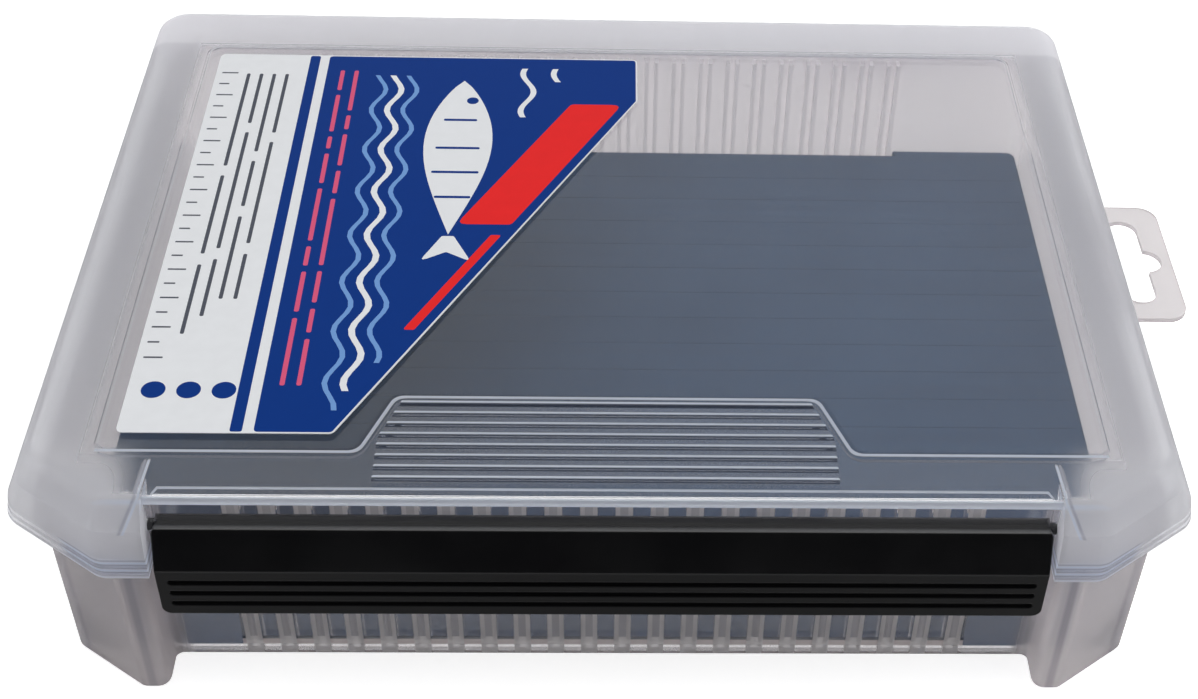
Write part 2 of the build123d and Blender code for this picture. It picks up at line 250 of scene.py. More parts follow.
# %% [markdown]
# ## Lid
#
# The mould for the lid is polished only where the panel is, so the panel is as clear as a window, and the rim
# and the skirt round it are frosted. A moulded edge is never sharp, and on clear plastic its small rounding
# catches bright lines round the panel, along the front edge and on the grip ribs. Here these lines are painted
# highlights in the lid's finish.
#
# All this could be separate meshes, but the real lid is one moulding. So one material does it, and finds its
# zones by the place on the part.

# %% Lid zones
panel_half, panel_front, panel_back = 105.5, -76.5, 74.3
panel_top, panel_under = 58.8, 57.1
flat_tolerance, panel_margin, upper_depth = 0.06, 1, 0.3
bay_half, bay_face = 93.6, -89.7
back_rim_start = (panel_back - 0.2, panel_back + 1.5)
side_rim_start, side_rim_front = (106, 112), (-80, -70)
rim_start = (panel_half, panel_half + 5)
corner_start, corner_end = (93, 104), (-88, -70)
skirt_start, skirt_end = (bay_half - 0.2, bay_half + 0.2), (bay_face, bay_face + 2)
lip_depth, lip_height, lip_side = (bay_face + 0.1, bay_face + 0.7), (56, 57), (bay_half, bay_half + 0.6)

lid_material, tree, output = new_material("lid_frosted_polypropylene")
place, x, y, z = part_place(tree)
across = abs(x)

polished = highest(*(calc("COMPARE", z, level, flat_tolerance) for level in (panel_top, panel_under)))
window = polished * (across < panel_half + panel_margin)
window = window * within(y, panel_front - panel_margin, panel_back + panel_margin, 0.1)
lit_back_rim = soft_step(y, *back_rim_start)
shaded_side_rim = soft_step(across, *side_rim_start) * soft_step(y, *side_rim_front)
rim = highest(soft_step(across, *rim_start), lit_back_rim)
corner_top = soft_step(across, *corner_start) * soft_drop(y, *corner_end)
corner_skirt = soft_step(across, *skirt_start) * soft_drop(y, *skirt_end)
corner = highest(corner_top, corner_skirt)
lip = soft_drop(y, *lip_depth) * soft_step(z, *lip_height) * soft_drop(across, *lip_side)
upper_side = z > panel_top - upper_depth
print("clear panel:", 2 * panel_half, "x", round(panel_back - panel_front, 1), "mm")

# %% [markdown]
# A line is the narrow strip where a distance is close to zero. Round the panel that distance comes from two
# straight edges and the slant of the thumb island between them. A smooth minimum and a smooth maximum join
# them, because they round the corner where two edges meet, as the mould does.
#
# Beside the bright line, a painted highlight, lies a darker line of painted shade, and the steep faces of the
# step below it get a painted reflection of the dark room.

# %% Panel outline
island_half_foot, island_length = 51.8, 16.6
slant_depth, slant_width = 16.6, 6.4
corner_blend = 3.1
front_end = -50
steepness = 0.6
line_strip, shade_strip = (-0.1, 0.8, 0.15), (-1.3, -0.4, 0.3)
step_end = (0.8, 1.2)
under_height, under_start = (55, 57.9, 0.05), (-84, -83)

slant_length = math.hypot(slant_depth, slant_width)
past_front = panel_front - y
from_foot = island_half_foot - across
inside_slant = from_foot * (slant_depth / slant_length) + past_front * (slant_width / slant_length)
in_island = calc("SMOOTH_MIN", past_front + island_length, inside_slant, corner_blend)
outside_panel = calc("SMOOTH_MAX", past_front, in_island, corner_blend)

front_half = (y < front_end) * (across < panel_half)
panel_highlight = within(outside_panel, *line_strip) * front_half * upper_side
panel_shade = within(outside_panel, *shade_strip) * front_half * upper_side

normal = add_node(tree, "ShaderNodeTexCoord").outputs["Normal"]
up = Value(add_node(tree, "ShaderNodeSeparateXYZ", {0: normal}).outputs["Z"])
steep = abs(up) < steepness
steep_step = steep * upper_side * soft_drop(outside_panel, *step_end)
under_step_reflection = steep * front_half * within(z, *under_height) * soft_step(y, *under_start)
print("thumb island:", 2 * island_half_foot, "x", island_length, "mm")

# %% [markdown]
# The lid's front edge has a step with a painted highlight along it, and the thumb island has eight grip ribs,
# with painted highlights on their ridges and painted shade in the furrows before them. One rib's line is
# enough:
# the fraction of y over the pitch starts again at each rib, so it draws all of them.

# %% Front step and grip ribs
step_front, step_half = -87.4, 90.8
step_slant = 1.2 / 2.3
step_strip = (-0.35, 0.1, 0.1)
rib_first, rib_pitch, rib_count = -62.31, 3.17, 8
rib_reach_back, rib_reach_gain, rib_reach_front = 44, 1.2, 48
rib_rows_span = (-0.4, rib_count - 0.6, 0.01)
ridge_strip, furrow_strip = (-0.6, 0.05, 0.1), (0.15, 0.95, 0.12)

step_ahead = step_front - y
in_step = calc("MINIMUM", step_ahead, step_half - across + step_ahead * step_slant)
step_highlight = within(in_step, *step_strip) * upper_side

rib_rows = (rib_first - y) / rib_pitch
rib_reach = calc("MINIMUM", rib_reach_back + rib_rows * rib_reach_gain, rib_reach_front)
before_rib = (calc("FRACT", rib_rows + 0.5) - 0.5) * rib_pitch
on_ribs = (across < rib_reach) * within(rib_rows, *rib_rows_span) * upper_side
ridge_highlight = within(before_rib, *ridge_strip) * on_ribs
furrow_shade = within(before_rib, *furrow_strip) * on_ribs
print(rib_count, "grip ribs,", rib_pitch, "mm apart")

# %% [markdown]
# On each side of the latch a rib under the lid stiffens the corner. It is painted on the lid as one slanted
# bright line, a painted highlight, with a painted shadow beside it. The shelf along the top's front edge gets a
# painted highlight too. The corner's lower edge has fine grooves between lands, with painted highlights on the
# lands and painted shade in the grooves.

# %% Corner lines
gusset_start, gusset_across = -78.9, 93.86
gusset_spread, gusset_lean = 0.055, 0.48
gusset_strip, gusset_shade_strip = (-0.4, 0.25, 0.15), (0.35, 1.0, 0.3)
gusset_foot, slope_top = (52.4, 52.8), 59
shelf_strip, shelf_height = (-90.8, -90.0, 0.3), (57.5, 58)
shelf_start, shelf_end = (bay_half, bay_half + 0.4), (96, 108)
lip_foot, groove_pitch, groove_turns = 40.5, 2.2, 2.5
groove_strip, groove_walls = (0.3, 0.7, 0.08), (0.25, 0.75, 0.1)

shelf_highlight = within(y, *shelf_strip) * soft_step(z, *shelf_height)
shelf_highlight = shelf_highlight * soft_step(across, *shelf_start) * soft_drop(across, *shelf_end)

gusset_x = (gusset_across + gusset_spread * highest(gusset_start - y, 0)
            + gusset_lean * highest(slope_top - z, 0))
beside_gusset = across - gusset_x
gusset_reach = soft_drop(y, gusset_start - 1, gusset_start) * soft_step(z, *gusset_foot)
gusset_highlight = within(beside_gusset, *gusset_strip) * gusset_reach
gusset_shade = within(beside_gusset, *gusset_shade_strip) * gusset_reach

groove_cycle = calc("FRACT", (z - lip_foot) / groove_pitch)
in_grooves = within(z, lip_foot + 0.2, lip_foot + groove_turns * groove_pitch, 0.2) * corner_skirt
groove = within(groove_cycle, *groove_strip) * in_grooves
land = without(within(groove_cycle, *groove_walls)) * in_grooves
print("grooves every", groove_pitch, "mm from", lip_foot, "mm up")

# %% [markdown]
# Now the zones become a finish. Each has its own thickness of veil, and where zones overlap the thickest one
# counts. The colours, mostly painted highlights and painted shade, are laid over each other like coats of
# paint, and the painted shade of the furrows comes last.

# %% Lid finish
clear_veil, rim_veil, back_veil = 0.05, 0.42, 0.2
clear_roughness, rim_roughness = 0.07, 0.36
lid_veils = (
    (corner, 0.7), (lip, 0.75), (panel_highlight, 0.85), (steep_step, 0.5), (under_step_reflection, 0.7), (step_highlight, 0.7),
    (on_ribs, 0.16), (ridge_highlight, 0.95), (furrow_shade, 0.75), (shelf_highlight, 0.8), (gusset_highlight, 0.9), (gusset_shade, 0.7),
    (land, 0.9),
)
veil = (soft_step(rim, 0, 1, clear_veil, rim_veil) + lit_back_rim * back_veil) * without(window, 0.9)
veil = highest(veil, *(zone * thickness for zone, thickness in lid_veils))
roughness = soft_step(highest(rim, corner, lip), 0, 1, clear_roughness, rim_roughness) * without(window, 0.6)
# The tint darkens beside the panel line as painted shade.
tint = blend_colours(panel_shade * 0.5, (0.95, 0.955, 0.97, 1), (0.3, 0.32, 0.38, 1))
# Painted highlights: a pale milk and a thick veil on the panel's outline, the front step, the rib ridges, the
# lip, the shelf, the gusset and the lands.
painted_highlights = highest(panel_highlight, step_highlight, ridge_highlight, lip, shelf_highlight, gusset_highlight, land)
milk = paint_over(
    (0.80, 0.80, 0.83, 1),
    # Painted shade on the rim's sides and painted light on its back rim.
    (shaded_side_rim, (0.72, 0.72, 0.755, 1)),
    (lit_back_rim, (0.97, 0.965, 0.99, 1)),
    # Painted reflection of the dark room on the steep faces of the step below the panel.
    (under_step_reflection, (0.2, 0.24, 0.32, 1)),
    (painted_highlights, (0.82, 0.87, 0.97, 1)),
    # Painted shadow beside the gusset line and painted shade in the grooves.
    (highest(gusset_shade * 0.8, groove), (0.45, 0.46, 0.53, 1)),
    # Painted shade in the furrows before the grip ribs.
    (furrow_shade, (0.07, 0.085, 0.125, 1)),
)
frosted(tree, output, tint, milk, veil, roughness)
dress("lid", lid_material)

# %% [markdown]
# ## Tray
#
# The tray is the same plastic with a coarser frosting. Its front wall behind the latch is smoother, and the
# divider ribs behind it show as pale upright bars, because the plastic is thicker there. The ribs stand in
# pairs with a slot between them, so the distance from the middle of a pair tells rib from slot.

# %% Tray zones
pair_pitch, pair_half, slot_half = 7.46, 1.85, 0.75
pair_edge = 0.15
rib_row_half = 81
front_wall_end, skin_end, back_wall_start = (-78, -75), (-81.9, -81.7), (81.5, 83)
between_end, pillar_start, side_wall_start = (92, 94), (93.5, 95.5), (112, 116)
gusset_depth, gusset_width = (-80.1, -69, 0.1), (95, 99, 0.5)

tray_material, tree, output = new_material("tray_frosted_polypropylene")
place, x, y, z = part_place(tree)
across = abs(x)
front = soft_drop(y, *front_wall_end)
pillar = soft_step(across, *pillar_start) * front
between = soft_drop(across, *between_end) * front
front_skin = between * soft_drop(y, *skin_end)
back_wall = soft_step(y, *back_wall_start)
side_wall = soft_step(across, *side_wall_start)
gusset = within(y, *gusset_depth) * within(across, *gusset_width)

from_pair = abs(calc("FRACT", x / pair_pitch) - 0.5) * pair_pitch
rib_row = across < rib_row_half
pair = soft_drop(from_pair, pair_half - pair_edge, pair_half + pair_edge) * rib_row
one_rib = pair * soft_step(from_pair, slot_half - pair_edge, slot_half + pair_edge)
print("divider ribs in pairs,", pair_pitch, "mm apart")

# %% [markdown]
# At the foot of the ribs the wall ends in the tray's floor. The floor's edge glows, because a plate of clear
# plastic guides light to its edges. Mixing shaders doesn't follow light inside a plate, so a small share of
# the edge is left clear instead and takes its light from the paper below.

# %% Tray veil
foot_low, foot_high, foot_shade, glow_top = 1.6, 5.6, 6.6, 3.8
glow, glow_on_pair = 0.24, 0.06
rib_head = (40, 43)
rib_veil, head_veil, pair_veil, front_veil = 0.85, 0.7, 0.66, 0.16
wall_veil, pillar_veil, side_veil, back_veil = 0.34, 0.5, 0.46, 0.82
coarse_roughness, front_roughness = 0.25, 0.08

high = soft_step(z, *rib_head)
rib_foot = soft_drop(z, foot_shade - 0.1, foot_shade + 0.1) * rib_row
base = soft_drop(z, glow_top - 0.15, glow_top + 0.15)
pale_bars = highest(one_rib * rib_veil, pair * high * head_veil, rib_foot * rib_veil) * without(base, 0.6)
bars = highest(pale_bars, pair * pair_veil, front_veil)
veil = highest(soft_step(pillar, 0, 1, wall_veil, pillar_veil), side_wall * side_veil, back_wall * back_veil)
veil = veil * without(between, 0.85) * without(gusset, 0.7)
veil = highest(veil, bars * front_skin)
roughness = soft_step(between, 0, 1, coarse_roughness, front_roughness)
edge_glow = base * soft_step(z, foot_low - 0.2, foot_low + 0.1) * front_skin
edge_glow = edge_glow * (glow - pair * (glow - glow_on_pair))
print("the floor's edge glows up to", glow_top, "mm")

# %% [markdown]
# The two front pillars are hollow and the milkiest spot. A softer, darker band of painted shade runs down each
# of their faces, where the wall behind is seen through two layers, and the left pillar is painted darker all
# over as painted shade.

# %% Tray finish
cut_corner_x, cut_corner_y = 118.9, -79.1
cut_run_x, cut_run_y = 0.8, 0.6
flat_strip, flat_depth = (98.8, 100.5, 0.5), (-90, -88)
cut_strip, cut_start = (1.5, 5, 1), (103, 105)
left_end, band_depth = (-94, -90), 0.7

along_cut = (cut_corner_x - across) * cut_run_x + (cut_corner_y - y) * cut_run_y
flat_band = within(across, *flat_strip) * soft_drop(y, *flat_depth)
cut_band = within(along_cut, *cut_strip) * soft_step(across, *cut_start)
# In the slots the foot is pale up to 5.6 mm, and above it a dark strip of painted shade runs to 6.6 mm.
foot_milk_and_shade = blend_colours(soft_step(z, foot_high - 0.15, foot_high + 0.15),
                            (0.82, 0.72, 0.71, 1), (0.09, 0.10, 0.13, 1))
milk = paint_over(
    (0.80, 0.76, 0.77, 1),
    (back_wall, (0.9, 0.875, 0.88, 1)),
    # Painted shade: the left pillar darker, and darker bands on both pillars.
    (pillar * soft_drop(x, *left_end), (0.64, 0.60, 0.61, 1)),
    (highest(flat_band, cut_band) * pillar * band_depth, (0.4, 0.38, 0.42, 1)),
    (pale_bars * front_skin, (0.97, 0.93, 0.92, 1)),
    (rib_foot * without(pair) * front_skin, foot_milk_and_shade),
)
frosted(tree, output, (0.93, 0.92, 0.925, 1), milk, veil, roughness, edge_glow)
dress("tray", tray_material)

# %% [markdown]
# ## Latch
#
# The latch is black ABS with a satin skin. Black plastic has nearly no colour of its own, so what the eye sees
# is the room in its surface. A plain Principled shader with a low roughness is right, and a fine bump keeps
# the reflections from looking like lacquer.
#
# The skin isn't equally shiny everywhere: the top is given little shine, which paints the shadow of the lid's
# lip on it, its front edge is given much shine, which paints the highlight of its rounding, and the grip zone
# below is matt. Four shaders that differ only in shine take their turns.

# %% Latch material
edge_rounding = 0.4 * mm
grain_depth = 0.05 * mm
abs_refraction = 1.62
abs_black = (0.002, 0.002, 0.003, 1)
grain_scale, wear_scale = 2500.0, 60.0
satin_low, satin_high, matt = 0.2, 0.27, 0.4
face_shine, shadowed_top_shine, edge_highlight_shine, grip_shine = 0.5, 0.3, 0.95, 0.15
top_height, edge_height, grip_top = (50.85, 51.0), (50.5, 50.7), (41.2, 42.2)
edge_strip = (-91.2, -90.1, 0.35)


def noise(place, scale, detail):
    """Soft random blotches, this many to one unit of the place."""
    texture = add_node(place.id_data, "ShaderNodeTexNoise", {"Vector": place, "Scale": scale, "Detail": detail})
    return Value(texture.outputs[0])


latch_material, tree, output = new_material("latch_black_abs")
place, x, y, z = part_place(tree)
rounding = add_node(tree, "ShaderNodeBevel", {"Radius": edge_rounding}, samples=8).outputs[0]
grain = add_node(tree, "ShaderNodeBump", {
    "Height": noise(place, grain_scale, 2.0), "Strength": 0.06, "Distance": grain_depth, "Normal": rounding,
}).outputs[0]
satin = soft_step(noise(place, wear_scale, 4.0), 0.3, 0.7, satin_low, satin_high)


def latch_skin(shine, roughness):
    """Black ABS with this much shine."""
    return shader(tree, "ShaderNodeBsdfPrincipled", {
        "Base Color": abs_black, "Roughness": roughness, "IOR": abs_refraction,
        "Specular IOR Level": shine, "Normal": grain,
    })


# Little shine on the top paints the shadow under the lid's lip, and much shine on the front edge paints its
# highlight.
front_edge = within(y, *edge_strip) * soft_step(z, *edge_height)
skin = mix(tree, soft_step(z, *top_height), latch_skin(face_shine, satin), latch_skin(shadowed_top_shine, satin))
skin = mix(tree, front_edge, skin, latch_skin(edge_highlight_shine, satin))
skin = mix(tree, soft_step(z, *grip_top), latch_skin(grip_shine, matt), skin)
tree.links.new(skin, output.inputs["Surface"])
dress("latch", latch_material)

# %% [markdown]
# ## Foam mat
#
# The mat is closed-cell polyethylene foam, slate blue, 15 mm thick, with slits that hold hooks. The blade
# pushes the foam apart and it closes again, so a slit is a fine dark line and not an open groove.
#
# The mesh is built from one outline, drawn a few times with a growing inset, so that the upper edge is
# rounded. In front and at the back the mat steps in where the tray's divider ribs stand.

# %% Foam outline
foam_low, foam_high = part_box("foam_mat")
rib_zone = 81.2 * mm
rib_step = 2.2 * mm
back_round = 2.8 * mm
front_round = 4.0 * mm
edge_round = 0.8 * mm


def rounded(corners, steps=5):
    """A closed outline whose corners, given as x, y and radius, are replaced by short curves."""
    points = []
    for index, (x, y, radius) in enumerate(corners):
        corner = Vector((x, y))
        if radius == 0:
            points.append(corner)
            continue
        before = Vector(corners[index - 1][:2]) - corner
        after = Vector(corners[(index + 1) % len(corners)][:2]) - corner
        cut = radius / math.tan(before.angle(after) / 2)
        start = corner + before.normalized() * cut
        end = corner + after.normalized() * cut
        for step in range(steps + 1):
            share = step / steps
            points.append(start.lerp(corner, share).lerp(corner.lerp(end, share), share))
    return points


def foam_outline(inset):
    """The mat's outline with its two rib zones, drawn in by the inset."""
    side, back, front = foam_high.x - inset, foam_high.y - inset, foam_low.y + inset
    zone = rib_zone + inset
    right = [
        (zone, back - rib_step, 0),
        (zone, back, 0),
        (side, back, back_round - inset),
        (side, front, front_round - inset),
        (zone, front, 0),
        (zone, front + rib_step, 0),
    ]
    return rounded(right + [(-x, y, radius) for x, y, radius in reversed(right)])


print("foam outline:", len(foam_outline(0)), "points")

# %% [markdown]
# The rings of the outline are closed with faces. The top face is then cut along the slits, three cuts to a
# slit, and the middle one is pressed down.

# %% Foam mesh
slit_count = 15
slit_pitch = 10 * mm
slit_half_width = 0.1 * mm
slit_press = 0.25 * mm
slit_end = foam_high.x - 5 * mm
slit_middle = (foam_low.y + foam_high.y) / 2
same_place = 1e-6


def close_ring(bm, lower, upper):
    """Faces between two rings with the same number of corners."""
    for index in range(len(lower)):
        after = (index + 1) % len(lower)
        bm.faces.new((lower[index], lower[after], upper[after], upper[index]))


def mesh_object(name, bm):
    """Turns a finished mesh, its faces all looking outward, into an object in the scene."""
    bmesh.ops.recalc_face_normals(bm, faces=bm.faces)
    made = bpy.data.objects.new(name, bpy.data.meshes.new(name))
    bm.to_mesh(made.data)
    bm.free()
    bpy.context.scene.collection.objects.link(made)
    return made


def on_top(vert):
    """Whether a point lies on the mat's top face."""
    return abs(vert.co.z - foam_high.z) < same_place


def cut_top(bm, point, normal):
    """Cuts the faces on top along a plane."""
    top = [face for face in bm.faces if all(on_top(vert) for vert in face.verts)]
    parts = top + [edge for face in top for edge in face.edges] + [vert for face in top for vert in face.verts]
    bmesh.ops.bisect_plane(bm, geom=list(dict.fromkeys(parts)), plane_co=point, plane_no=normal, dist=1e-7)


bm = bmesh.new()
edge_turns = (0, math.pi / 6, math.pi / 3, math.pi / 2)
edge_steps = [(0, foam_low.z)] + [
    (edge_round * (1 - math.cos(turn)), foam_high.z - edge_round * (1 - math.sin(turn))) for turn in edge_turns
]
rings = [
    [bm.verts.new((point.x, point.y, height)) for point in foam_outline(inset)] for inset, height in edge_steps
]
for lower, upper in zip(rings, rings[1:]):
    close_ring(bm, lower, upper)
bm.faces.new(rings[0])
bm.faces.new(rings[-1])

slit_lines = [slit_middle + (index - (slit_count - 1) / 2) * slit_pitch for index in range(slit_count)]
for side in (-1, 1):
    cut_top(bm, (side * slit_end, 0, 0), (1, 0, 0))
for line in slit_lines:
    for offset in (-slit_half_width, 0, slit_half_width):
        cut_top(bm, (0, line + offset, 0), (0, 1, 0))
pressed = [
    vert for vert in bm.verts
    if on_top(vert) and abs(vert.co.x) < slit_end + same_place
    and any(abs(vert.co.y - line) < same_place for line in slit_lines)
]
for vert in pressed:
    vert.co.z -= slit_press
print("foam:", slit_count, "slits,", len(pressed), "pressed points")

foam = mesh_object("slit_foam_mat", bm)
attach(foam, "tray")
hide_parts("foam_mat")
print("foam:", len(foam.data.polygons), "faces")

# %% [markdown]
# Foam has no shine to speak of. Its colour wavers a little in clouds, and in streaks along the sheet, which is
# the direction it was pulled in when it was made. A weak, fine bump stands for the closed cells.

# %% Foam material
foam_dark = (0.026, 0.064, 0.136, 1)
foam_light = (0.036, 0.082, 0.164, 1)
streak_scale = (4.0, 420.0, 4.0)
cell_depth = 0.02 * mm

foam_material, tree, output = new_material("slate_blue_foam")
place = part_place(tree)[0]
along = add_node(tree, "ShaderNodeMapping", {"Vector": place, "Scale": streak_scale}).outputs[0]
shade = noise(place, 25.0, 5.0) * 0.5 + noise(along, 1.0, 3.0) * 0.5
cells = add_node(tree, "ShaderNodeBump", {
    "Height": noise(place, 2400.0, 2.0), "Strength": 0.04, "Distance": cell_depth,
}).outputs[0]
skin = shader(tree, "ShaderNodeBsdfPrincipled", {
    "Base Color": blend_colours(soft_step(shade, 0.35, 0.65), foam_dark, foam_light),
    "Roughness": 0.85, "Specular IOR Level": 0.3, "Normal": cells,
})
tree.links.new(skin, output.inputs["Surface"])
foam.data.materials.append(foam_material)
print(foam.name, "wears", foam_material.name)

# %% [markdown]
# ## Printed film
#
# The real film is printed in deep blue, red and white and glued into the lid's panel. Here it has a print of
# its own: a ruler of short bars, waves and a plain lure, in the same kind of colours. A picture could be
# mapped on the film, but flat shapes of ink stay sharp at any size and need no image. Each ink is one mesh
# of thin plates, and a later ink lies a hair higher than the one below it.

# %% Film
film_low, film_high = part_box("label_film")
film_white = (0.95, 0.97, 1.0, 1)
ink_blue = (0.0, 0.040, 0.265, 1)
ink_red = (0.98, 0.024, 0.025, 1)
ink_pale = (0.2, 0.4, 0.8, 1)
ink_rose = (0.85, 0.12, 0.25, 1)
ink_grey = (0.10, 0.11, 0.14, 1)
mottle_depth = 0.93


def gloss_print(name, colour):
    """A printed colour under the sheen of the film, with the faint mottle of ink."""
    material, tree, output = new_material(name)
    mottle = noise(part_place(tree)[0], 300.0, 3.0)
    darker = tuple(channel * mottle_depth for channel in colour[:3]) + (1,)
    sheet = shader(tree, "ShaderNodeBsdfPrincipled", {
        "Base Color": blend_colours(mottle, colour, darker), "Roughness": 0.4, "Specular IOR Level": 0.1,
    })
    tree.links.new(sheet, output.inputs["Surface"])
    return material


dress("label_film", gloss_print("film_white_print", film_white))
print("the film lies from", round(film_low.z / mm, 2), "to", round(film_high.z / mm, 2), "mm up")

# %% [markdown]
# The shapes are drawn in millimetres on the film, seen from above with the latch in front. Three of them come
# back again and again: a bar, a dot, and any outline with rounded corners.

# %% Ink plates
ink_layer = 0.02 * mm


def ink_plates(name, outlines, colour, layer):
    """One mesh of thin plates of ink, given by their outlines."""
    low = film_high.z + (layer - 1) * ink_layer
    bm = bmesh.new()
    for outline in outlines:
        lower = [bm.verts.new((px * mm, py * mm, low)) for px, py in outline]
        upper = [bm.verts.new((px * mm, py * mm, low + ink_layer)) for px, py in outline]
        close_ring(bm, lower, upper)
        bm.faces.new(upper)
        bm.faces.new(lower)
    plate = mesh_object(name, bm)
    plate.data.materials.append(gloss_print(name + "_ink", colour))
    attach(plate, "lid")
    print(name, len(outlines), "plates")


def soft_corners(outline, radius):
    """An outline with the same small radius at each corner."""
    return rounded([(px, py, radius) for px, py in outline], steps=3)


def bar(left, low, width, height, radius=0.6):
    """A rectangle with rounded corners."""
    corners = [(left, low), (left + width, low), (left + width, low + height), (left, low + height)]
    return soft_corners(corners, min(radius, width / 2.01, height / 2.01))


def disc(centre_x, centre_y, radius, sides=28):
    """A round dot."""
    turns = [2 * math.pi * side / sides for side in range(sides)]
    return [(centre_x + radius * math.cos(turn), centre_y + radius * math.sin(turn)) for turn in turns]


print("each layer of ink is", ink_layer / mm, "mm thick")

# %% [markdown]
# The slanted edge runs from the film's right side down to its foot. A line parallel to it is a shift to the
# left, so each shape that follows the slant is found with one function that gives x for a height y.

# %% Blue field and red band
slant_top = (6.9, 52.0)
slant_foot = (-57.5, -71.0)
film_back = 71.0
film_edge = 0.4
field_left, stripe_left, stripe_width = -74.0, -79.0, 2.6
field_front, field_back = film_edge - film_back, film_back - film_edge
field_right = slant_top[0] - film_edge


def slant_x(y, shift):
    """Where a line parallel to the slanted edge, this far to its left, crosses the height y."""
    share = (y - slant_foot[1]) / (slant_top[1] - slant_foot[1])
    return slant_foot[0] + share * (slant_top[0] - slant_foot[0]) - shift


def slanted_band(low, high, shift, width):
    """A band along the slanted edge between two heights."""
    ends = [(slant_x(low, shift + width), low), (slant_x(low, shift), low),
            (slant_x(high, shift), high), (slant_x(high, shift + width), high)]
    return soft_corners(ends, min(1.5, width / 5))


field = rounded([(px, py, 1.0) for px, py in (
    (field_left, field_front),
    (slant_x(field_front, film_edge * 1.13), field_front),
    (field_right, slant_top[1] - 0.1),
    (field_right, field_back),
    (field_left, field_back),
)])
stripe = bar(stripe_left, field_front, stripe_width, field_back - field_front)
ink_plates("print_blue_field", [field, stripe], ink_blue, 1)
ink_plates("print_red_band", [slanted_band(0, 50, 3, 13), slanted_band(-38, -4, 3, 2.5)], ink_red, 2)

# %% [markdown]
# The picture on the film is a small lure and the water it swims in. Its flank is one curve that is mirrored,
# and the waves are ribbons round a sine curve.

# %% Lure and waves
def wave(middle, low, high, width, swing=1.5, length=17.0, steps=60):
    """A wavy ribbon that runs from front to back."""
    heights = [low + (high - low) * step / steps for step in range(steps + 1)]
    line = [(middle + swing * math.sin(2 * math.pi * py / length), py) for py in heights]
    return [(px + width / 2, py) for px, py in line] + [(px - width / 2, py) for px, py in reversed(line)]


def lure_body(middle, low, high, half_width, steps=22):
    """A slim fish with its head to the back: two mirrored flanks."""
    flank = []
    for step in range(steps + 1):
        share = step / steps
        swell = math.sin(math.pi * share ** 1.25) ** 0.8
        flank.append((half_width * swell, low + (high - low) * share))
    return [(middle + px, py) for px, py in flank] + [(middle - px, py) for px, py in reversed(flank[1:-1])]


lure_x = -38.0
tail = [(lure_x - 6, -14), (lure_x, -10.5), (lure_x + 6, -14), (lure_x + 1.4, -4.6), (lure_x - 1.4, -4.6)]
ink_plates("print_white_shapes", [
    lure_body(lure_x, -4, 60, 8.5),
    soft_corners(tail, 0.6),
    wave(-55.5, -58, 62, 1.5),
    wave(-21.5, 44, 66, 1.5),
    wave(-13.5, 60, 66, 1.5),
], film_white, 2)
ink_plates("print_pale_waves", [wave(-51.5, -49, 62, 1.2), wave(-59.5, -64, 62, 1.2)], ink_pale, 2)

lure_bars = ((4.2, 42, 8.4), (5.5, 30, 11), (5.8, 20, 11.6), (4.4, 10, 8.8))
lure_eye = disc(lure_x + 2.6, 51, 1.5)
lure_marks = [lure_eye] + [bar(lure_x - left, low, width, 0.9) for left, low, width in lure_bars]
ink_plates("print_lure_marks", lure_marks, ink_blue, 3)

# %% [markdown]
# Lines of small print are seen as rows of dashes from any distance at which the whole case is seen. So rows of
# bars with uneven lengths stand for them, and a scale of long and short bars stands for the ruler.

# %% Small marks
def dashes(left, high, width, lengths, gap, radius):
    """A row of bars with gaps, from the back to the front."""
    row = []
    for length in lengths:
        row.append(bar(left, high - length, width, length, radius))
        high -= length + gap
    return row


red_lengths = ((9, 16, 5, 12, 20, 7, 14, 22), (18, 6, 13, 9, 25, 11, 8, 15))
red_rows = []
for row, lengths in enumerate(red_lengths):
    red_rows += dashes(-70.5 + 3.6 * row, 64.0, 1.1, lengths, 2.2, 0.5)
ink_plates("print_red_rows", red_rows, ink_rose, 2)

grey_lengths = ((40, 30, 24), (22, 46, 20), (34, 18, 30), (26, 40, 16))
grey_marks = [bar(-101.0, 62.0 - 5.0 * mark, 4.2 if mark % 2 == 0 else 2.6, 0.5, 0.2) for mark in range(23)]
for row, lengths in enumerate(grey_lengths):
    grey_marks += dashes(-94.5 + 3.3 * row, 62.0, 0.9, lengths, 4.0, 0.4)
ink_plates("print_grey_marks", grey_marks, ink_grey, 1)
ink_plates("print_dots", [disc(-97.0 + 7.5 * dot, -58, 2.6) for dot in range(3)], ink_blue, 1)

# %% [markdown]
# ## Studio camera
#
# The camera's place, turn and lens were worked out from corners of the case whose size is known, so that the
# render lies over the picture. The lens shift stands for the picture's crop.

# %% Camera
camera_place = Vector((0.59, -358.59, 342.89)) * mm
azimuth, elevation, roll = (math.radians(turn) for turn in (-3.069, 41.997, 2.555))
photo_width = 1198
focal_length = 1915.7
crop_shift = -88.09

back = Vector((
    math.sin(azimuth) * math.cos(elevation), -math.cos(azimuth) * math.cos(elevation), math.sin(elevation),
))
level = (-back).cross(Vector((0, 0, 1))).normalized()
over = level.cross(-back)
right = math.cos(roll) * level + math.sin(roll) * over
above = math.cos(roll) * over - math.sin(roll) * level
camera_data = bpy.data.cameras.new("camera")
camera_data.sensor_width = 36
camera_data.lens = focal_length / photo_width * camera_data.sensor_width
camera_data.shift_x = crop_shift / photo_width
camera = bpy.data.objects.new("camera", camera_data)
bpy.context.scene.collection.objects.link(camera)
camera.matrix_world = Matrix.Translation(camera_place) @ Matrix((right, above, back)).transposed().to_4x4()
bpy.context.scene.camera = camera
print("camera lens", round(camera_data.lens, 2), "mm")

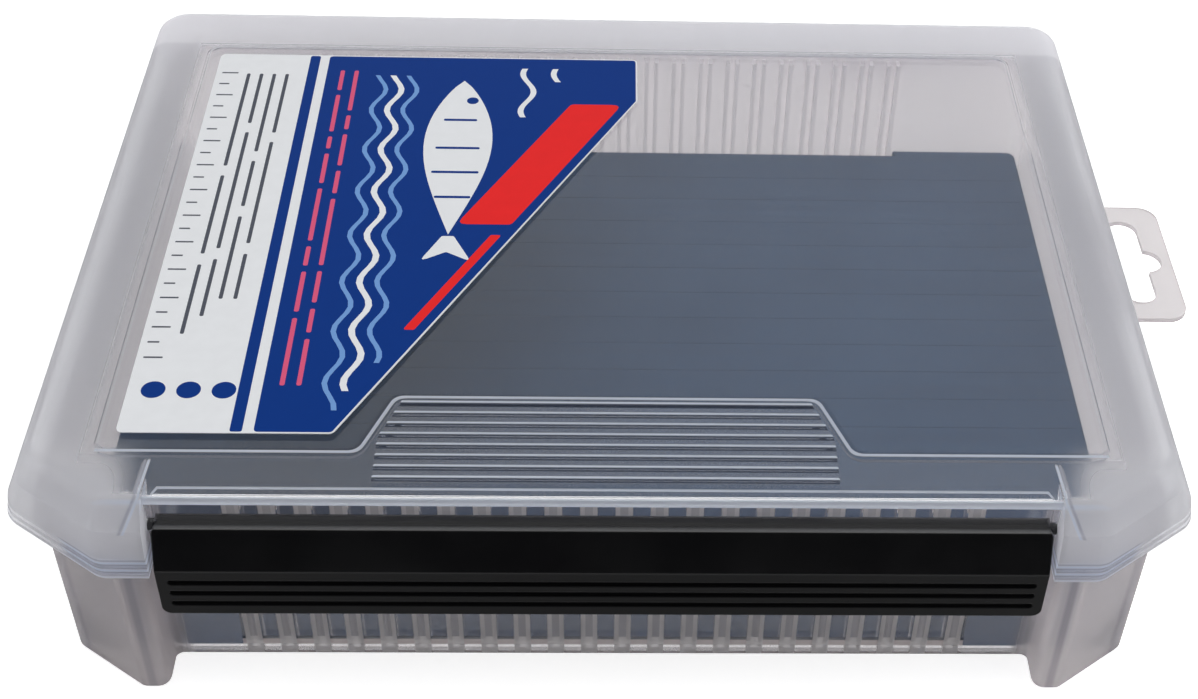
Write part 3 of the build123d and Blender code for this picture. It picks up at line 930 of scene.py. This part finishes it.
# %% [markdown]
# ## Soft studio light
#
# A product studio is white on all sides but one: the camera stands in front of a dark room. That dark side is
# what makes the latch black and gives the clear plastic its edges, so the world is a gradient from a dark
# front to a bright back. A grey patch high up at the back keeps the panel's mirror image of the room weak.
# The camera itself sees plain white.

# %% World
dark_front, bright_back = 0.03, 1.1
dark_end, bright_start = -0.8, -0.15
left_light, right_light = 0.8, 1.2
patch_direction, patch_light = (0, 0.74, 0.67), 0.38
patch_edge, patch_core = 0.82, 0.94

world = bpy.data.worlds.new("studio")
bpy.context.scene.world = world
world.use_nodes = True
tree = world.node_tree
tree.nodes.clear()


def seen_directly(tree):
    """1 for rays that come from the camera, straight or through clear plastic."""
    light = add_node(tree, "ShaderNodeLightPath")
    return highest(Value(light.outputs["Is Camera Ray"]), light.outputs["Is Transmission Ray"])


direction = add_node(tree, "ShaderNodeTexCoord").outputs["Generated"]
axes = add_node(tree, "ShaderNodeSeparateXYZ", {0: direction}).outputs
toward_right, toward_back = Value(axes["X"]), Value(axes["Y"])
near_patch = Value(add_node(
    tree, "ShaderNodeVectorMath", {0: direction, 1: patch_direction}, operation="DOT_PRODUCT",
).outputs["Value"])
brightness = (soft_step(toward_back, dark_end, bright_start, dark_front, bright_back)
              * soft_step(near_patch, patch_edge, patch_core, 1, patch_light)
              * soft_step(toward_right, -1, 1, left_light, right_light))
room = shader(tree, "ShaderNodeBackground", {"Color": (1, 1, 1, 1), "Strength": brightness})
white = shader(tree, "ShaderNodeBackground", {"Color": (1, 1, 1, 1), "Strength": 1.0})
sky = mix(tree, seen_directly(tree), room, white)
tree.links.new(sky, add_node(tree, "ShaderNodeOutputWorld").inputs["Surface"])
print("room light from", dark_front, "in front to", bright_back, "at the back")

# %% [markdown]
# ## Floor
#
# The floor is white paper. It catches the soft shadow, and a little light of its own, which only the camera
# and clear plastic see, lifts it to the white of the backdrop. It ends in front of the case, so that the
# latch mirrors the dark room and not the paper.

# %% Floor
floor_half = 1.5
floor_front = -0.22
floor_drop = 0.2 * mm
paper_colour = (0.8, 0.8, 0.8, 1)
paper_lift = 0.72

floor_mesh = bpy.data.meshes.new("floor")
bm = bmesh.new()
bmesh.ops.create_grid(bm, x_segments=1, y_segments=1, size=floor_half)
bm.to_mesh(floor_mesh)
bm.free()
floor = bpy.data.objects.new("floor", floor_mesh)
floor.location = (0, floor_front + floor_half, -floor_drop)
bpy.context.scene.collection.objects.link(floor)

floor_material, tree, output = new_material("white_paper_floor")
paper = shader(tree, "ShaderNodeBsdfDiffuse", {"Color": paper_colour})
lift_strength = seen_directly(tree) * paper_lift
lift = shader(tree, "ShaderNodeEmission", {"Color": (1, 1, 1, 1), "Strength": lift_strength})
lit = shader(tree, "ShaderNodeAddShader", {0: paper, 1: lift})
tree.links.new(lit, output.inputs["Surface"])
floor_mesh.materials.append(floor_material)
print("paper floor:", 2 * floor_half, "m wide")

# %% [markdown]
# ## Light paths and colour
#
# A ray that looks at the foam goes through the lid's two skins, and one that looks at the tray's back wall
# goes through four or more. With too few bounces such a ray ends inside the plastic and leaves a black spot,
# so the limits for transmission are raised. The Standard view shows a colour as it is written.

# %% Render settings that belong to the scene
scene = bpy.context.scene
scene.view_settings.view_transform = "Standard"
scene.cycles.max_bounces = 24
scene.cycles.transmission_bounces = 20
scene.cycles.transparent_max_bounces = 32
scene.cycles.diffuse_bounces = 6
print("light may bounce", scene.cycles.max_bounces, "times")
